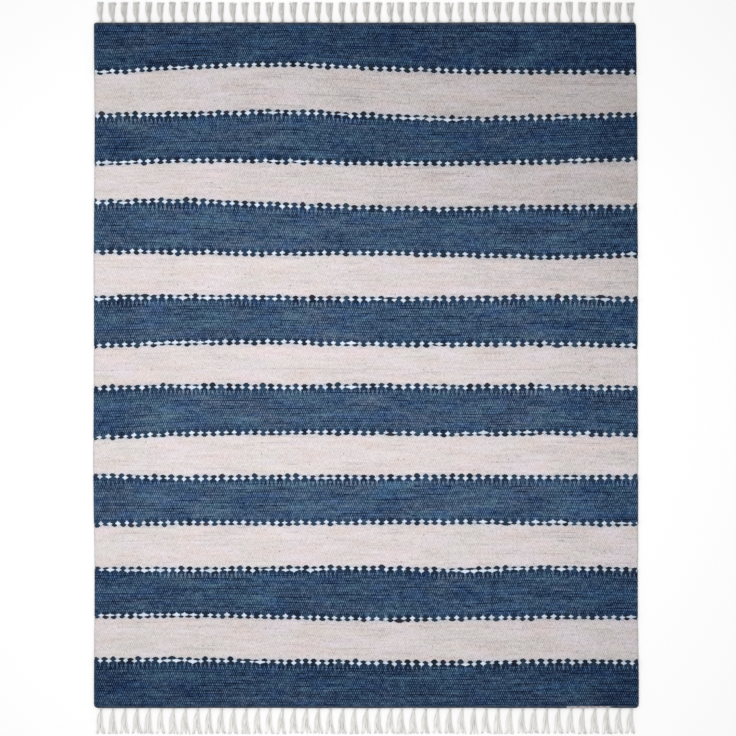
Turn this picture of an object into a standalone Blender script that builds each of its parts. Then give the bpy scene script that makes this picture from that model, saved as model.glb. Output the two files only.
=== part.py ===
"""A hand-woven rag rug lying flat: one weft-faced cloth in fifteen stripes, with a knotted warp fringe at each end.

Metres, +Z up. The origin is on the floor under the middle of the whole rug, and +Y runs along its length,
from the foot end to the head end. Every solid stands on z = 0.
"""

import math
import random

import bmesh
import bpy

# Driving sizes
RUG_WIDTH = 1.228  # across the widest stripes
RUG_LENGTH = 1.649  # over both fringes, tip to tip
HEAD_FRINGE = 0.0465  # from the weave's head edge to the longest tassel's tip
FOOT_FRINGE = 0.0592  # the same at the foot edge
CLOTH_THICK = 0.006
PART_GAP = 0.0003  # between a fringe's heading and the cloth

# The colour changes: two picks of long rag floats, which stand a little proud of the plain weave
SEAM_HALF = 0.007
SEAM_RIDGE = 0.0005

# The selvedge: (distance in from the edge, height), up to the full thickness
SELVEDGE = ((0.0, 0.0022), (0.0010, 0.0048), (0.0035, CLOTH_THICK))
UNDERSIDE_INSET = 0.0008
INNER_COLUMNS = 11

# The heading, the last picks of each end, which hold the tassels
HEADING_DEPTH = 0.005
HEADING_CROWN = 0.0014  # how far in its top starts to slope down to the outer edge
HEAD_CORNER = 0.0055
FOOT_CORNER = 0.009
CORNER_STEPS = 3
CORNER_SPACING = 1.5  # over 1, the cuts across a rounded corner crowd towards the side
LEAST_END = 0.001  # the heading's depth where it runs out in a rounded corner

# How far the heading's outer edge strays, as waves: size in metres, turn in radians to the metre, start in radians
EDGE_WAVES = {
    "head": ((0.0003, 10.5, 4.7), (0.0001, 31.0, 0.0)),
    "foot": ((0.0002, 14.0, 2.1), (0.0002, 43.0, 0.9)),
}

# The tassels
TASSELS_PER_END = 45
TASSEL_SEEDS = {"head": 45, "foot": 46}
FIRST_TASSEL = -0.5964
TASSEL_PITCH = 0.02722
CLOSER_TASSEL = 25  # this one stands closer to the one before it
CLOSER_BY = 0.0036
TASSEL_DRIFT = 0.0004  # how far one stands from its even place
ROOT_HALF = 0.0038
ROOT_HEIGHT = 0.0042
NECK_OUT = 0.0045
NECK_HALF = 0.0025
NECK_HEIGHT = 0.0040
SPLIT_OUT = 0.010
SPLIT_HALF = 0.0043
SPLIT_SHIFT = -0.0012
SPLIT_HEIGHT = 0.0036
SPLIT_GAP = 0.0006
LOCKS_PER_TASSEL = 3
LOCK_HALF = 0.0020
LOCK_HEIGHT = 0.0036
TIP_HALF = 0.0021
TIP_HEIGHT = 0.0026
LOCK_TOP = 0.7  # a lock's top width as a share of its base
LOCK_STEPS = 3
BOW_AT = 0.45  # where a lock is furthest to its side, as a share of its length
SPLAY = (0.94, 1.08)  # how far locks open, from a tight tassel to a loose one
TRIM = (0.0002, 0.0020)  # how much shorter a tassel is than the longest
LONGEST_TASSEL = 7

# Each lock, left to right: sideways from the root at its bow and at its tip, and how much it falls short
LOCKS = {
    "head": (
        {"bow": -0.0078, "tip": -0.0080, "short": 0.0008},
        {"bow": -0.0029, "tip": -0.0028, "short": 0.0},
        {"bow": 0.0020, "tip": 0.0040, "short": 0.0004},
    ),
    "foot": (
        {"bow": -0.0079, "tip": -0.0098, "short": 0.0},
        {"bow": -0.0030, "tip": 0.0010, "short": 0.0012},
        {"bow": 0.0020, "tip": 0.0070, "short": 0.0006},
    ),
}

# Each stripe from the head: its colour, and how far its left and right edges draw in, in millimetres
STRIPES = (
    {"colour": "blue", "left": 1.6, "right": 6.9},
    {"colour": "cream", "left": 3.4, "right": 4.2},
    {"colour": "blue", "left": 4.5, "right": 3.8},
    {"colour": "cream", "left": 2.5, "right": 3.0},
    {"colour": "blue", "left": 1.6, "right": 4.4},
    {"colour": "cream", "left": 1.1, "right": 1.7},
    {"colour": "blue", "left": 3.2, "right": 3.3},
    {"colour": "cream", "left": 1.4, "right": 3.0},
    {"colour": "blue", "left": 2.3, "right": 2.8},
    {"colour": "cream", "left": 0.0, "right": 1.6},
    {"colour": "blue", "left": 1.4, "right": 2.6},
    {"colour": "cream", "left": 2.9, "right": 1.7},
    {"colour": "blue", "left": 4.5, "right": 4.2},
    {"colour": "cream", "left": 2.5, "right": 1.7},
    {"colour": "blue", "left": 1.6, "right": 0.0},
)

# Each colour change, in millimetres from the head edge: at the left edge, at each sixth of the width, at the right
#    left  sixth third middle two_thirds five_sixths right
SEAMS = (
    (113, 102, 95, 103, 110, 112, 112),
    (208, 207, 201, 209, 217, 213, 209),
    (318, 312, 313, 318, 318, 314, 308),
    (404, 402, 410, 417, 420, 416, 416),
    (516, 518, 521, 520, 523, 529, 524),
    (620, 617, 620, 622, 622, 619, 623),
    (728, 722, 720, 725, 725, 724, 728),
    (823, 818, 820, 818, 820, 820, 823),
    (935, 926, 924, 924, 927, 924, 929),
    (1020, 1025, 1023, 1023, 1023, 1023, 1023),
    (1130, 1127, 1127, 1126, 1125, 1127, 1129),
    (1230, 1231, 1230, 1228, 1232, 1227, 1232),
    (1336, 1335, 1338, 1343, 1342, 1339, 1340),
    (1435, 1434, 1438, 1440, 1442, 1438, 1440),
)
STATIONS = len(SEAMS[0])

# Each material: its name, colour and roughness
FINISHES = {
    "blue": ("blue_rag_weave", (0.040, 0.085, 0.160), 0.92),
    "cream": ("cream_rag_weave", (0.680, 0.620, 0.600), 0.92),
    "heading": ("dark_heading", (0.020, 0.030, 0.050), 0.92),
    "tassels": ("cotton_warp", (0.700, 0.685, 0.660), 0.85),
}
FACE_MATERIALS = {"blue": 0, "cream": 1}
TASSEL_MATERIAL = 1

HALF_WIDTH = RUG_WIDTH / 2
HALF_LENGTH = RUG_LENGTH / 2
HEAD_EDGE = HALF_LENGTH - HEAD_FRINGE
FOOT_EDGE = FOOT_FRINGE - HALF_LENGTH
WEAVE_LENGTH = HEAD_EDGE - FOOT_EDGE
MILLIMETRE = 0.001
SAME_PLACE = 1e-6
SIDE_SHARE = 0.75  # at a stripe's last line, how much of the side's inset is its own, the rest its neighbour's


def clear_scene():
    for thing in list(bpy.data.objects):
        bpy.data.objects.remove(thing, do_unlink=True)


def make_material(finish):
    name, colour, roughness = FINISHES[finish]
    material = bpy.data.materials.new(name)
    material.use_nodes = True
    shader = material.node_tree.nodes["Principled BSDF"]
    shader.inputs["Base Color"].default_value = (*colour, 1.0)
    shader.inputs["Roughness"].default_value = roughness
    shader.inputs["Metallic"].default_value = 0.0
    return material


def finish_object(name, mesh_being_made, materials):
    """Closes the edit, and puts the mesh in the scene under its part's name."""
    bmesh.ops.recalc_face_normals(mesh_being_made, faces=mesh_being_made.faces[:])
    mesh = bpy.data.meshes.new(name)
    mesh_being_made.to_mesh(mesh)
    mesh_being_made.free()
    for material in materials:
        mesh.materials.append(material)
    thing = bpy.data.objects.new(name, mesh)
    bpy.context.scene.collection.objects.link(thing)
    return thing


def mix(first, second, share):
    return [a + (b - a) * share for a, b in zip(first, second)]


def moved(line, distance):
    return [depth + distance for depth in line]


def depth_on(line, share):
    """A line's depth at a share of the width, smooth through its stations."""
    place = min(max(share, 0.0), 1.0) * (STATIONS - 1)
    span = min(int(place), STATIONS - 2)
    t = place - span
    before = line[max(span - 1, 0)]
    start, end = line[span], line[span + 1]
    after = line[min(span + 2, STATIONS - 1)]
    return 0.5 * (
        2 * start
        + (end - before) * t
        + (2 * before - 5 * start + 4 * end - after) * t * t
        + (3 * start - before - 3 * end + after) * t * t * t
    )


def corner_inset(depth, radius):
    """How far a rounded corner of this radius draws in, at this distance from the end."""
    if depth >= radius:
        return 0.0
    return radius - math.sqrt(radius**2 - (radius - depth) ** 2)


def edge_wave(x, end):
    """How far the outer edge of the heading strays, out from its mean place."""
    return sum(size * math.sin(turn * x + start) for size, turn, start in EDGE_WAVES[end])


def cloth_rows():
    """The lines across the cloth from head to foot, each with its lift above the weave, its side insets and stripe."""
    seams = [[depth * MILLIMETRE for depth in seam] for seam in SEAMS]
    head_line = [HEADING_DEPTH + PART_GAP] * STATIONS
    foot_line = [WEAVE_LENGTH - HEADING_DEPTH - PART_GAP] * STATIONS
    lines = [head_line, *seams, foot_line]
    rows = []

    def add(line, lift, share, stripe, beside):
        """share is how much of the inset comes from the stripe, the rest from the one beside it."""
        insets = [
            MILLIMETRE * (share * stripe[side] + (1 - share) * beside[side])
            for side in ("left", "right")
        ]
        rows.append({"line": line, "lift": lift, "insets": insets, "stripe": stripe})

    for index, stripe in enumerate(STRIPES):
        above = STRIPES[max(index - 1, 0)]
        below = STRIPES[min(index + 1, len(STRIPES) - 1)]
        first = lines[index] if index == 0 else moved(lines[index], SEAM_HALF)
        last = lines[index + 1]
        if below is not stripe:
            last = moved(last, -SEAM_HALF)
        add(first, 0.0, SIDE_SHARE, stripe, above)
        if index == 0:
            add([HEAD_CORNER] * STATIONS, 0.0, 1.0, stripe, above)
        add(mix(first, last, 0.5), 0.0, 1.0, stripe, stripe)
        if below is stripe:
            add([WEAVE_LENGTH - FOOT_CORNER] * STATIONS, 0.0, 1.0, stripe, stripe)
        add(last, 0.0, SIDE_SHARE, stripe, below)
        if below is not stripe:
            add(lines[index + 1], SEAM_RIDGE, 0.5, stripe, below)
    return rows


def cloth_columns():
    """The lines along the cloth: which edge each is measured from, how far in, or at what share, and its height."""
    rim = SELVEDGE[-1][0]
    left = [("left", inward, height) for inward, height in SELVEDGE[:-1]]
    right = [("right", inward, height) for inward, height in reversed(SELVEDGE[:-1])]
    inner = [
        ("share", step / (INNER_COLUMNS - 1), CLOTH_THICK) for step in range(INNER_COLUMNS)
    ]
    return rim, left + inner + right


def build_woven_field():
    """One flat cloth: its top is a grid that follows the stripes and their wavy colour changes."""
    rows = cloth_rows()
    rim, columns = cloth_columns()
    across, along = len(columns) - 1, len(rows) - 1
    cloth = bmesh.new()
    bmesh.ops.create_grid(cloth, x_segments=across, y_segments=along, size=1.0)
    for face in cloth.faces:
        row = along - 1 - int((face.calc_center_median().y + 1) / 2 * along)
        face.material_index = FACE_MATERIALS[rows[row]["stripe"]["colour"]]
    for vert in cloth.verts:
        column = round((vert.co.x + 1) / 2 * across)
        row = rows[along - round((vert.co.y + 1) / 2 * along)]
        vert.co = cloth_point(row, columns[column], rim)
    lower = bmesh.ops.extrude_edge_only(
        cloth, edges=[edge for edge in cloth.edges if edge.is_boundary]
    )["geom"]
    for vert in (item for item in lower if isinstance(item, bmesh.types.BMVert)):
        if vert.co.z < CLOTH_THICK - MILLIMETRE * 2:
            vert.co.x -= math.copysign(UNDERSIDE_INSET, vert.co.x)
        vert.co.z = 0.0
    bmesh.ops.holes_fill(
        cloth, edges=[edge for edge in cloth.edges if edge.is_boundary], sides=0
    )
    materials = [make_material("blue"), make_material("cream")]
    return finish_object("woven_field", cloth, materials)


def cloth_point(row, column, rim):
    edge, amount, height = column
    middle_depth = row["line"][STATIONS // 2]
    corner = max(
        corner_inset(middle_depth, HEAD_CORNER),
        corner_inset(WEAVE_LENGTH - middle_depth, FOOT_CORNER),
    )
    left = -HALF_WIDTH + row["insets"][0] + corner
    right = HALF_WIDTH - row["insets"][1] - corner
    if edge == "left":
        x = left + amount
    elif edge == "right":
        x = right - amount
    else:
        x = left + rim + amount * (right - left - 2 * rim)
    share = (x + HALF_WIDTH) / RUG_WIDTH
    depth = depth_on(row["line"], share)
    lift = row["lift"] * (height / CLOTH_THICK) ** 2
    return x, HEAD_EDGE - depth, height + lift


def heading_columns(end, roots):
    """Where the heading is cut across: in its rounded corners, and at both sides of each tassel's root."""
    stripe = STRIPES[0] if end == "head" else STRIPES[-1]
    radius = HEAD_CORNER if end == "head" else FOOT_CORNER
    least = radius - math.sqrt(radius**2 - (radius - HEADING_DEPTH + LEAST_END) ** 2)
    left_side = -HALF_WIDTH + stripe["left"] * MILLIMETRE
    right_side = HALF_WIDTH - stripe["right"] * MILLIMETRE
    insets = [
        least + (radius - least) * (step / CORNER_STEPS) ** CORNER_SPACING
        for step in range(CORNER_STEPS + 1)
    ]
    columns = [(left_side + inset, corner_inset(inset, radius)) for inset in insets]
    for root in roots:
        columns += [(root - ROOT_HALF, 0.0), (root + ROOT_HALF, 0.0)]
    columns += [
        (right_side - inset, corner_inset(inset, radius)) for inset in reversed(insets)
    ]
    return columns


def tassel_roots(chance):
    """The middle of each tassel's root, nearly evenly spaced but for one that stands closer."""
    roots = []
    for index in range(TASSELS_PER_END):
        outermost = index in (0, TASSELS_PER_END - 1)
        drift = 0.0 if outermost else chance.uniform(-TASSEL_DRIFT, TASSEL_DRIFT)
        closer = CLOSER_BY if index >= CLOSER_TASSEL else 0.0
        roots.append(FIRST_TASSEL + index * TASSEL_PITCH - closer + drift)
    return roots


def place_quad(face, middle, out, half, height, top_share):
    """Moves a four-sided face to stand across a lock or a neck, flat on the floor. y is the way out from the weave."""
    centre_x = face.calc_center_median().x
    centre_z = face.calc_center_median().z
    for vert in face.verts:
        high = vert.co.z > centre_z
        reach = half * (top_share if high else 1.0)
        vert.co.x = middle + math.copysign(reach, vert.co.x - centre_x)
        vert.co.y = out
        vert.co.z = height if high else 0.0


def pull_out(fringe, face):
    """Extrudes one face by nothing, so that its new end can be placed."""
    return bmesh.ops.extrude_discrete_faces(fringe, faces=[face])["faces"][0]


def split_neck(fringe, face, middle):
    """Cuts a neck's end into its locks with a gap between each two, and returns the locks' faces from left to right."""
    spans = 2 * LOCKS_PER_TASSEL - 1
    level = [
        edge
        for edge in face.edges
        if abs(edge.verts[0].co.z - edge.verts[1].co.z) < SPLIT_HEIGHT / 2
    ]
    bmesh.ops.subdivide_edges(fringe, edges=level, cuts=spans - 1, use_grid_fill=True)
    ends = [
        found
        for found in fringe.faces
        if all(abs(vert.co.y - SPLIT_OUT) < SAME_PLACE for vert in found.verts)
        and abs(found.calc_center_median().x - middle) < 2 * SPLIT_HALF
    ]
    ends.sort(key=lambda found: found.calc_center_median().x)
    lock_width = (2 * SPLIT_HALF + SPLIT_GAP) / LOCKS_PER_TASSEL - SPLIT_GAP
    for vert in {vert for found in ends for vert in found.verts}:
        step = round((vert.co.x - middle + SPLIT_HALF) / (2 * SPLIT_HALF) * spans)
        gap, past_lock = divmod(step, 2)
        reached = gap * (lock_width + SPLIT_GAP) + past_lock * lock_width
        vert.co.x = middle - SPLIT_HALF + reached
    return ends[0::2]


def bend(start, bow, tip, share):
    """Sideways place along a lock that leaves start, passes bow and ends at tip: the parabola through the three."""
    return (
        start * (share - BOW_AT) * (share - 1) / BOW_AT
        + bow * share * (share - 1) / (BOW_AT * (BOW_AT - 1))
        + tip * share * (share - BOW_AT) / (1 - BOW_AT)
    )


def add_tassel(fringe, root_face, root, end, reach, chance, longest):
    """A neck drawn out of the heading, which opens into three locks lying on the floor."""
    neck = pull_out(fringe, root_face)
    place_quad(neck, root, NECK_OUT, NECK_HALF, NECK_HEIGHT, 1.0)
    body = pull_out(fringe, neck)
    middle = root + SPLIT_SHIFT
    place_quad(body, middle, SPLIT_OUT, SPLIT_HALF, SPLIT_HEIGHT, 1.0)
    splay = chance.uniform(*SPLAY)
    trim = chance.uniform(*TRIM)
    if longest:
        trim = 0.0
    for face, lock in zip(split_neck(fringe, body, middle), LOCKS[end]):
        start = face.calc_center_median().x
        length = reach - trim - lock["short"] - SPLIT_OUT
        for step in range(1, LOCK_STEPS + 1):
            share = step / LOCK_STEPS
            side = bend(start, root + lock["bow"] * splay, root + lock["tip"] * splay, share)
            half = LOCK_HALF + (TIP_HALF - LOCK_HALF) * share
            height = LOCK_HEIGHT + (TIP_HEIGHT - LOCK_HEIGHT) * share
            face = pull_out(fringe, face)
            place_quad(face, side, SPLIT_OUT + length * share, half, height, LOCK_TOP)


def build_fringe(end):
    """The heading strip of one end with its tassels: made with y as the way out, then turned to its end."""
    chance = random.Random(TASSEL_SEEDS[end])
    roots = tassel_roots(chance)
    columns = heading_columns(end, roots)
    section = (
        (-HEADING_DEPTH, 0.0),
        (-HEADING_DEPTH, CLOTH_THICK),
        (-HEADING_CROWN, CLOTH_THICK),
        (0.0, ROOT_HEIGHT),
        (0.0, 0.0),
    )
    fringe = bmesh.new()
    across, around = len(columns) - 1, len(section)
    bmesh.ops.create_grid(fringe, x_segments=across, y_segments=around, size=1.0)
    outer_side = 3
    first_root = CORNER_STEPS + 1
    root_faces = {}
    for face in fringe.faces:
        middle = face.calc_center_median()
        column = int((middle.x + 1) / 2 * across)
        side = int((middle.y + 1) / 2 * around)
        tassel, between = divmod(column - first_root, 2)
        if side == outer_side and between == 0 and 0 <= tassel < TASSELS_PER_END:
            root_faces[tassel] = face
    for vert in fringe.verts:
        x, corner = columns[round((vert.co.x + 1) / 2 * across)]
        out, height = section[round((vert.co.y + 1) / 2 * around) % around]
        if out > -HEADING_DEPTH:
            out = max(out - corner + edge_wave(x, end), LEAST_END - HEADING_DEPTH)
        vert.co = (x, out, height)
    bmesh.ops.remove_doubles(fringe, verts=fringe.verts[:], dist=SAME_PLACE)
    bmesh.ops.holes_fill(
        fringe, edges=[edge for edge in fringe.edges if edge.is_boundary], sides=0
    )
    reach = HEAD_FRINGE if end == "head" else FOOT_FRINGE
    for tassel, root in enumerate(roots):
        longest = tassel == LONGEST_TASSEL
        root_faces[tassel].material_index = TASSEL_MATERIAL
        add_tassel(fringe, root_faces[tassel], root, end, reach, chance, longest)
    for vert in fringe.verts:
        vert.co.y = HEAD_EDGE + vert.co.y if end == "head" else FOOT_EDGE - vert.co.y
    materials = [make_material("heading"), make_material("tassels")]
    return finish_object("fringe_" + end, fringe, materials)


def main():
    clear_scene()
    build_woven_field()
    build_fringe("head")
    build_fringe("foot")


main()
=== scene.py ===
"""The looks of a hand-woven rag rug lying flat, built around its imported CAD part.

Metres, +Z up, +Y towards the head end. The cloth is one sheet. Its face shows fifteen stripes of rag weft, in which
every pick rises over one warp and dips under the next. At each colour change the blue and the cream picks float
over groups of warps and lock like the teeth of a zipper. Both ends have a heading and 45 knotted tassels.
"""

import math
import random

import bmesh
import bpy
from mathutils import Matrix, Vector, noise


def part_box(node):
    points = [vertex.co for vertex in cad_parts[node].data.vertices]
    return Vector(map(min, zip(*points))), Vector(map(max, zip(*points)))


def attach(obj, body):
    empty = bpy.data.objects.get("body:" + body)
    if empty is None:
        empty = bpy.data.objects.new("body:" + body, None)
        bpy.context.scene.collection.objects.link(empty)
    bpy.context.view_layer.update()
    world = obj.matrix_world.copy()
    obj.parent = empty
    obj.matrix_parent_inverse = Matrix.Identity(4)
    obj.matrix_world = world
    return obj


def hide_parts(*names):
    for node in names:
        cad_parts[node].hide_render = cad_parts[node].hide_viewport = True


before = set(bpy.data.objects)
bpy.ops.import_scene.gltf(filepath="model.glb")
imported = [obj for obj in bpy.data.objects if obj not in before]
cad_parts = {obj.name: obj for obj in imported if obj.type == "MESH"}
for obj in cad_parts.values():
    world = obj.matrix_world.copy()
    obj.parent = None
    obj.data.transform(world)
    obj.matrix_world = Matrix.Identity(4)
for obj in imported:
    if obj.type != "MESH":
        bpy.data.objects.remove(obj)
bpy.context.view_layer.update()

# Sizes that the part gives
cloth_low, cloth_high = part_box("woven_field")
head_low, head_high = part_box("fringe_head")
foot_low, foot_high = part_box("fringe_foot")
HALF_WIDTH = max(cloth_high.x, -cloth_low.x)
RUG_WIDTH = 2 * HALF_WIDTH
HEADING_DEPTH = 0.005
HEAD_EDGE = head_low.y + HEADING_DEPTH
FOOT_EDGE = foot_high.y - HEADING_DEPTH
WEAVE_LENGTH = HEAD_EDGE - FOOT_EDGE
HEAD_REACH = head_high.y - HEAD_EDGE
FOOT_REACH = FOOT_EDGE - foot_low.y

# The loom: warps across the whole width, and the rag picks beaten down between them
WARPS = 500
PICK = 0.006
ROWS_PER_PICK = 2
CLOTH_MIDDLE = 0.0054  # mean height of the face
UNDERSIDE_TOP = 0.0030
STRIPE_BOTTOM = 0.0022
MILLIMETRE = 0.001
PART_GAP = 0.0003

# How far a warp strays sideways, how fast that grows from the selvedge in, and how its noise runs
WARP_WANDER = 0.0026
WANDER_GROWTH = 8.0
WANDER_ACROSS, WANDER_ALONG, WANDER_START = 9.0, 1.6, 3.1

# How far each colour's picks rise and dip, how deep the groove between two is, and how far a noise varies them
RELIEF = {"blue": (0.00050, 0.00022, 0.00030), "cream": (0.00030, 0.00012, 0.00020)}
STRIP_ALONG, STRIP_APART = 0.05, 3.7

# The selvedge: its height by warps in from the edge, and the beads where the picks turn
SELVEDGE = {0: 0.0026, 1: 0.0044}
BEAD = 0.0006

# The radii of the rounded corners
HEAD_CORNER = 0.0055
FOOT_CORNER = 0.009

# Painted light falloff: how much lighter or darker the rags are painted at the left edge and at the right one, near
# the head and near the foot
HEAD_PAINTED_FALLOFF, FOOT_PAINTED_FALLOFF = (1.14, 0.775), (1.04, 0.875)
PAINTED_FALLOFF_BENDS = (1.3, 3.0)  # how late the change comes, on the way to the right: near the head, and near the foot
PAINTED_FALLOFFS_MEET = (0.20, 0.55)  # shares of the length between which one end's turns into the other's

# Each stripe from the head, blue and cream in turn: how far its left and right edges draw in, in millimetres, and
# how much lighter or darker its rags are painted: partly their own dye, partly painted shade that darkens the
# stripes near both ends
COLOURS = ("blue", "cream")
STRIPES = (
    (1.6, 6.9, 0.60), (3.4, 4.2, 0.815), (4.5, 3.8, 0.80),
    (2.5, 3.0, 0.88), (1.6, 4.4, 0.94), (1.1, 1.7, 0.96),
    (3.2, 3.3, 0.95), (1.4, 3.0, 0.98), (2.3, 2.8, 1.00),
    (0.0, 1.6, 1.00), (1.4, 2.6, 1.02), (2.9, 1.7, 0.98),
    (4.5, 4.2, 0.84), (2.5, 1.7, 0.91), (1.6, 0.0, 0.66),
)

# Each colour change, in millimetres from the head edge: at the left edge, at each sixth of the width, at the right
#    left  sixth third middle two_thirds five_sixths right
SEAMS = (
    (113, 102, 95, 103, 110, 112, 112),
    (208, 207, 201, 209, 217, 213, 209),
    (318, 312, 313, 318, 318, 314, 308),
    (404, 402, 410, 417, 420, 416, 416),
    (516, 518, 521, 520, 523, 529, 524),
    (620, 617, 620, 622, 622, 619, 623),
    (728, 722, 720, 725, 725, 724, 728),
    (823, 818, 820, 818, 820, 820, 823),
    (935, 926, 924, 924, 927, 924, 929),
    (1020, 1025, 1023, 1023, 1023, 1023, 1023),
    (1130, 1127, 1127, 1126, 1125, 1127, 1129),
    (1230, 1231, 1230, 1228, 1232, 1227, 1232),
    (1336, 1335, 1338, 1343, 1342, 1339, 1340),
    (1435, 1434, 1438, 1440, 1442, 1438, 1440),
)
STATIONS = len(SEAMS[0])

# How far the teeth stray sideways from even spacing, in millimetres, at the same stations across. Each row is a
# quarter of the rug further from the head
TOOTH_DRIFT = (
    (1, -7, -12, -10, -8, -4, 0),
    (9, 1, -6, -11, -7, -5, -3),
    (12, 5, -2, -10, -5, -4, -5),
    (16, 10, 0, -8, -6, -5, -8),
    (13, 6, -1, -11, -9, -3, -3),
)

# The teeth at each colour change: one of either colour to every eight warps
WARPS_PER_TOOTH = 8
TOOTH_FOOT = 0.0057  # height of its rim
TOOTH_CROWN = 0.0010  # how far its middle stands above that
# Round a tooth: how far to the side, and how far up
TOOTH_SIDES = ((-1.0, 0.0), (-0.62, 0.8), (0.0, 1.0), (0.62, 0.8), (1.0, 0.0), (0.0, -1.2))
TOOTH_JITTER = 0.05
TOOTH_LEAN = 0.05  # how far a tip strays sideways, as a share of the pitch

# Along a tooth, from its root in its own stripe to its tip in the other: place in picks from the seam, half width as
# a share of the pitch from tooth to tooth, and how much of the crown it has
TEETH = {
    "blue": (
        (-1.68, 0.30, -0.60), (-1.36, 0.37, 0.30), (-0.95, 0.36, 0.55), (-0.55, 0.24, 0.60),
        (-0.25, 0.16, 0.65), (0.00, 0.35, 0.95), (0.25, 0.39, 1.00), (0.50, 0.34, 0.95),
        (0.80, 0.21, 0.75), (1.14, 0.04, -0.60),
    ),
    "cream": (
        (-1.00, 0.26, -0.60), (-0.80, 0.14, 0.20), (-0.52, 0.10, 0.50), (-0.20, 0.11, 0.60),
        (0.05, 0.27, 0.90), (0.30, 0.385, 1.00), (0.56, 0.26, 0.95), (0.72, 0.12, 0.75),
        (0.90, 0.05, 0.50), (1.18, 0.02, -0.60),
    ),
}

# How one tooth differs from the next
TOOTH_SEEDS = {"blue": 11, "cream": 12}
TOOTH_SIZE = {"blue": (0.88, 1.12), "cream": (0.82, 1.20)}
TOOTH_REACH = (0.70, 1.38)
TOOTH_SLIDE = 0.17  # picks
TOOTH_LIFT = (0.85, 1.15)
TOOTH_TONE = {"blue": (0.60, 1.55), "cream": (0.86, 1.08)}
SHADE_SHARE = {"blue": 1.0, "cream": 0.4}  # how far a tooth takes its stripe's shade
SEAM_STRETCH = (1.03, 0.94)  # the teeth are longer where cream turns to blue than where blue turns to cream

# The teeth whose spread head meets the next one, over its neck: their share, the head's width, and its rim's height
SPREAD_SHARE = {"blue": 0.03, "cream": 0.06}
SPREAD_HEAD, SPREAD_RIM = 1.65, 0.9

# Where most of the cream heads are spread and so run together: the colour change, and a span of the width
JOINED_SHARE = 0.8
JOINED = (
    (2, 0.53, 0.70), (6, 0.20, 0.25), (7, 0.08, 0.22),
    (11, 0.81, 0.87), (12, 0.06, 0.12), (12, 0.28, 0.42),
    (12, 0.67, 0.79), (13, 0.08, 0.19), (14, 0.12, 0.16),
)

# In warps: how far past the edge a tooth is still made, and how far in it is folded, with its sides a step apart
EDGE_TOOTH = 2.0
EDGE_GAP, EDGE_STEP = 0.5, 0.04

FAR = 99.0  # picks from a colour change, where there is none
SAME_PLACE = 1e-6  # metres

# The bake's maps: the margins round a small skin's cell and a large one, and the lengths a stripe is cut into
CELL_MARGIN, BAKE_MARGIN = 0.06, 0.004
BAKE_STRIPS = 3

# Camera: the photograph's frame, straight down
METRES_PER_PIXEL = 0.00225
PHOTO_SIDE = 736
RUG_MIDDLE_PIXEL = (366.03, 368.1)
LENS = 120.0
SENSOR = 36.0

# The heading: (out from the edge of the weave, height, how much it rises over every other warp)
HEADING_SECTION = (
    (-0.0050, 0.0001, 0.0), (-0.0050, 0.0050, 0.0),
    (-0.0038, 0.0058, 1.0), (-0.0025, 0.0052, 0.0),
    (-0.0014, 0.0056, -1.0), (-0.0003, 0.0042, 0.0),
    (0.0, 0.0020, 0.0), (-0.0006, 0.0001, 0.0),
)
HEADING_RISE = 0.0003
HEADING_STRIPS = 8  # lengths that its bake map is cut into
HEADING_INSIDE = 0.0002  # it follows the warps from this far inside the weave

# How the heading's outer edge strays, in waves: how far, how quickly, and from where
EDGE_WAVES = {
    "head": ((0.0003, 10.5, 4.7), (0.0001, 31.0, 0.0)),
    "foot": ((0.0002, 14.0, 2.1), (0.0002, 43.0, 0.9)),
}

# The tassels, placed as the part's are
TASSELS_PER_END = 45
TASSEL_SEEDS = {"head": 45, "foot": 46}
LOOSE_SEED = 100  # added to those, for the yarns that the part doesn't have
FIRST_TASSEL = -0.5964
TASSEL_PITCH = 0.02722
CLOSER_TASSEL = 25
CLOSER_BY = 0.0036
TASSEL_DRIFT = 0.0004
SPLAY = (0.94, 1.08)
TRIM = (0.0002, 0.0020)
LONGEST_TASSEL = 7

# The legs: where they start inside the cloth and where they leave it, how high, and how far off the root's middle
LEG_START, LEG_END = -0.0025, 0.0006
LEG_HEIGHT = 0.0028
LEG_PLACE = {"head": (0.0022, 0.0042), "foot": (0.0006, 0.0022)}

# The knot: how far out it is, half its width, how high its lower yarns lie and the upper ones above those,
# how tightly they are drawn in, and the yarn wrapped round them
KNOT_OUT = {"head": 0.0062, "foot": 0.0050}
KNOT_HALF = {"head": 0.0009, "foot": 0.0004}
KNOT_HEIGHT, KNOT_LAYER = 0.0022, 0.0009
NECK_THIN = {"head": 0.9, "foot": 0.7}
WRAP_LENGTH = 0.0020
WRAP_TURNS = 2.2
WRAP_STEPS = 14
WRAP_RADIUS = 0.0005
WRAP_MIDDLE, WRAP_RISE = 0.0024, 0.0017

# The yarns, and the slack locks they twist into from the knot on
YARN_SIDES = 5
YARN_STEPS = 8
YARN_RADIUS = 0.00125
YARN_LAY = 0.0035  # length of one turn of its plies
YARN_TRIM = (0.0, 0.0012)
YARN_CLEAR = 0.0001  # off the floor
TIP_THIN, TIP_FLAT = 0.8, 0.4  # how thin a yarn, and how flat a lock, is at the tip
YARNS_PER_LOCK = 3
LOCK_RADIUS = 0.0011
LOCK_TURNS = (0.3, 0.8)
LOCK_OPENS = 3.0  # a lock is open after one part in so many of its length
LOCK_SWAY = 0.0016
FRAY = 0.0014
FRAY_FROM, FRAY_OVER = 0.7, 0.3  # shares of the length
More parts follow.
